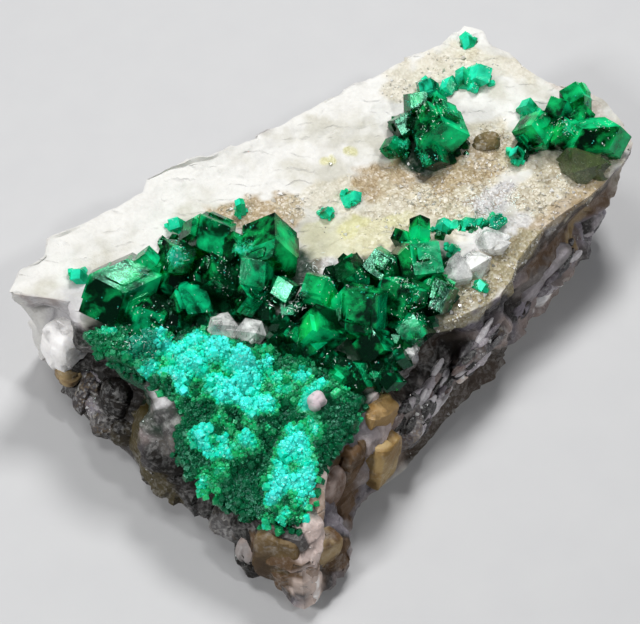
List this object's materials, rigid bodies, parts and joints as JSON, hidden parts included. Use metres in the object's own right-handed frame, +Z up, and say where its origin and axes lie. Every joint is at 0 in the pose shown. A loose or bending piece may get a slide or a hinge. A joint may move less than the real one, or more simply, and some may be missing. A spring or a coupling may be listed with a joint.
{
  "type": "dioptase specimen",
  "caption": "Emerald-green dioptase crystals and a turquoise crust of small ones on a broken slab of white and tan calcite, resting flat.",
  "frame": {"origin": "middle of the whole specimen's box, on the surface that it rests on", "axes": "+Z up, +X along the slab's length, towards the end with the long lying crystal; the low end with the turquoise crust is at -X, -Y"},
  "size_m": [0.0696, 0.0464, 0.0217],
  "materials": {
    "calcite": "matt, with glassy cleavage in places",
    "stained_calcite": "satin",
    "dioptase": "glassy, deep emerald",
    "fine_dioptase": "sparkling crust",
    "quartz": "glassy"
  },
  "bodies": {
    "root": {"matrix_rock": "calcite", "front_crust": "fine_dioptase", "left_crystals": "dioptase", "middle_crystals": "dioptase", "top_crystals": "dioptase", "right_crystals": "dioptase", "chain_crystals": "dioptase", "vein_crystals": "dioptase", "corner_crystal": "dioptase", "crystal_behind_left": "dioptase", "crystal_on_left_rim": "dioptase", "crystal_in_grains": "dioptase", "crystal_on_face": "dioptase", "small_crystal_on_face": "dioptase", "crystal_beside_quartz": "dioptase", "crystal_at_front_rim": "dioptase", "crystal_behind_right": "dioptase", "crystal_left_of_right": "dioptase", "quartz_beside_middle": "quartz", "quartz_on_face": "quartz", "quartz_in_front": "quartz", "quartz_under_middle": "quartz", "smoky_quartz": "quartz", "brown_calcite": "stained_calcite", "white_calcite_grain": "calcite"}
  },
  "joints": []
}
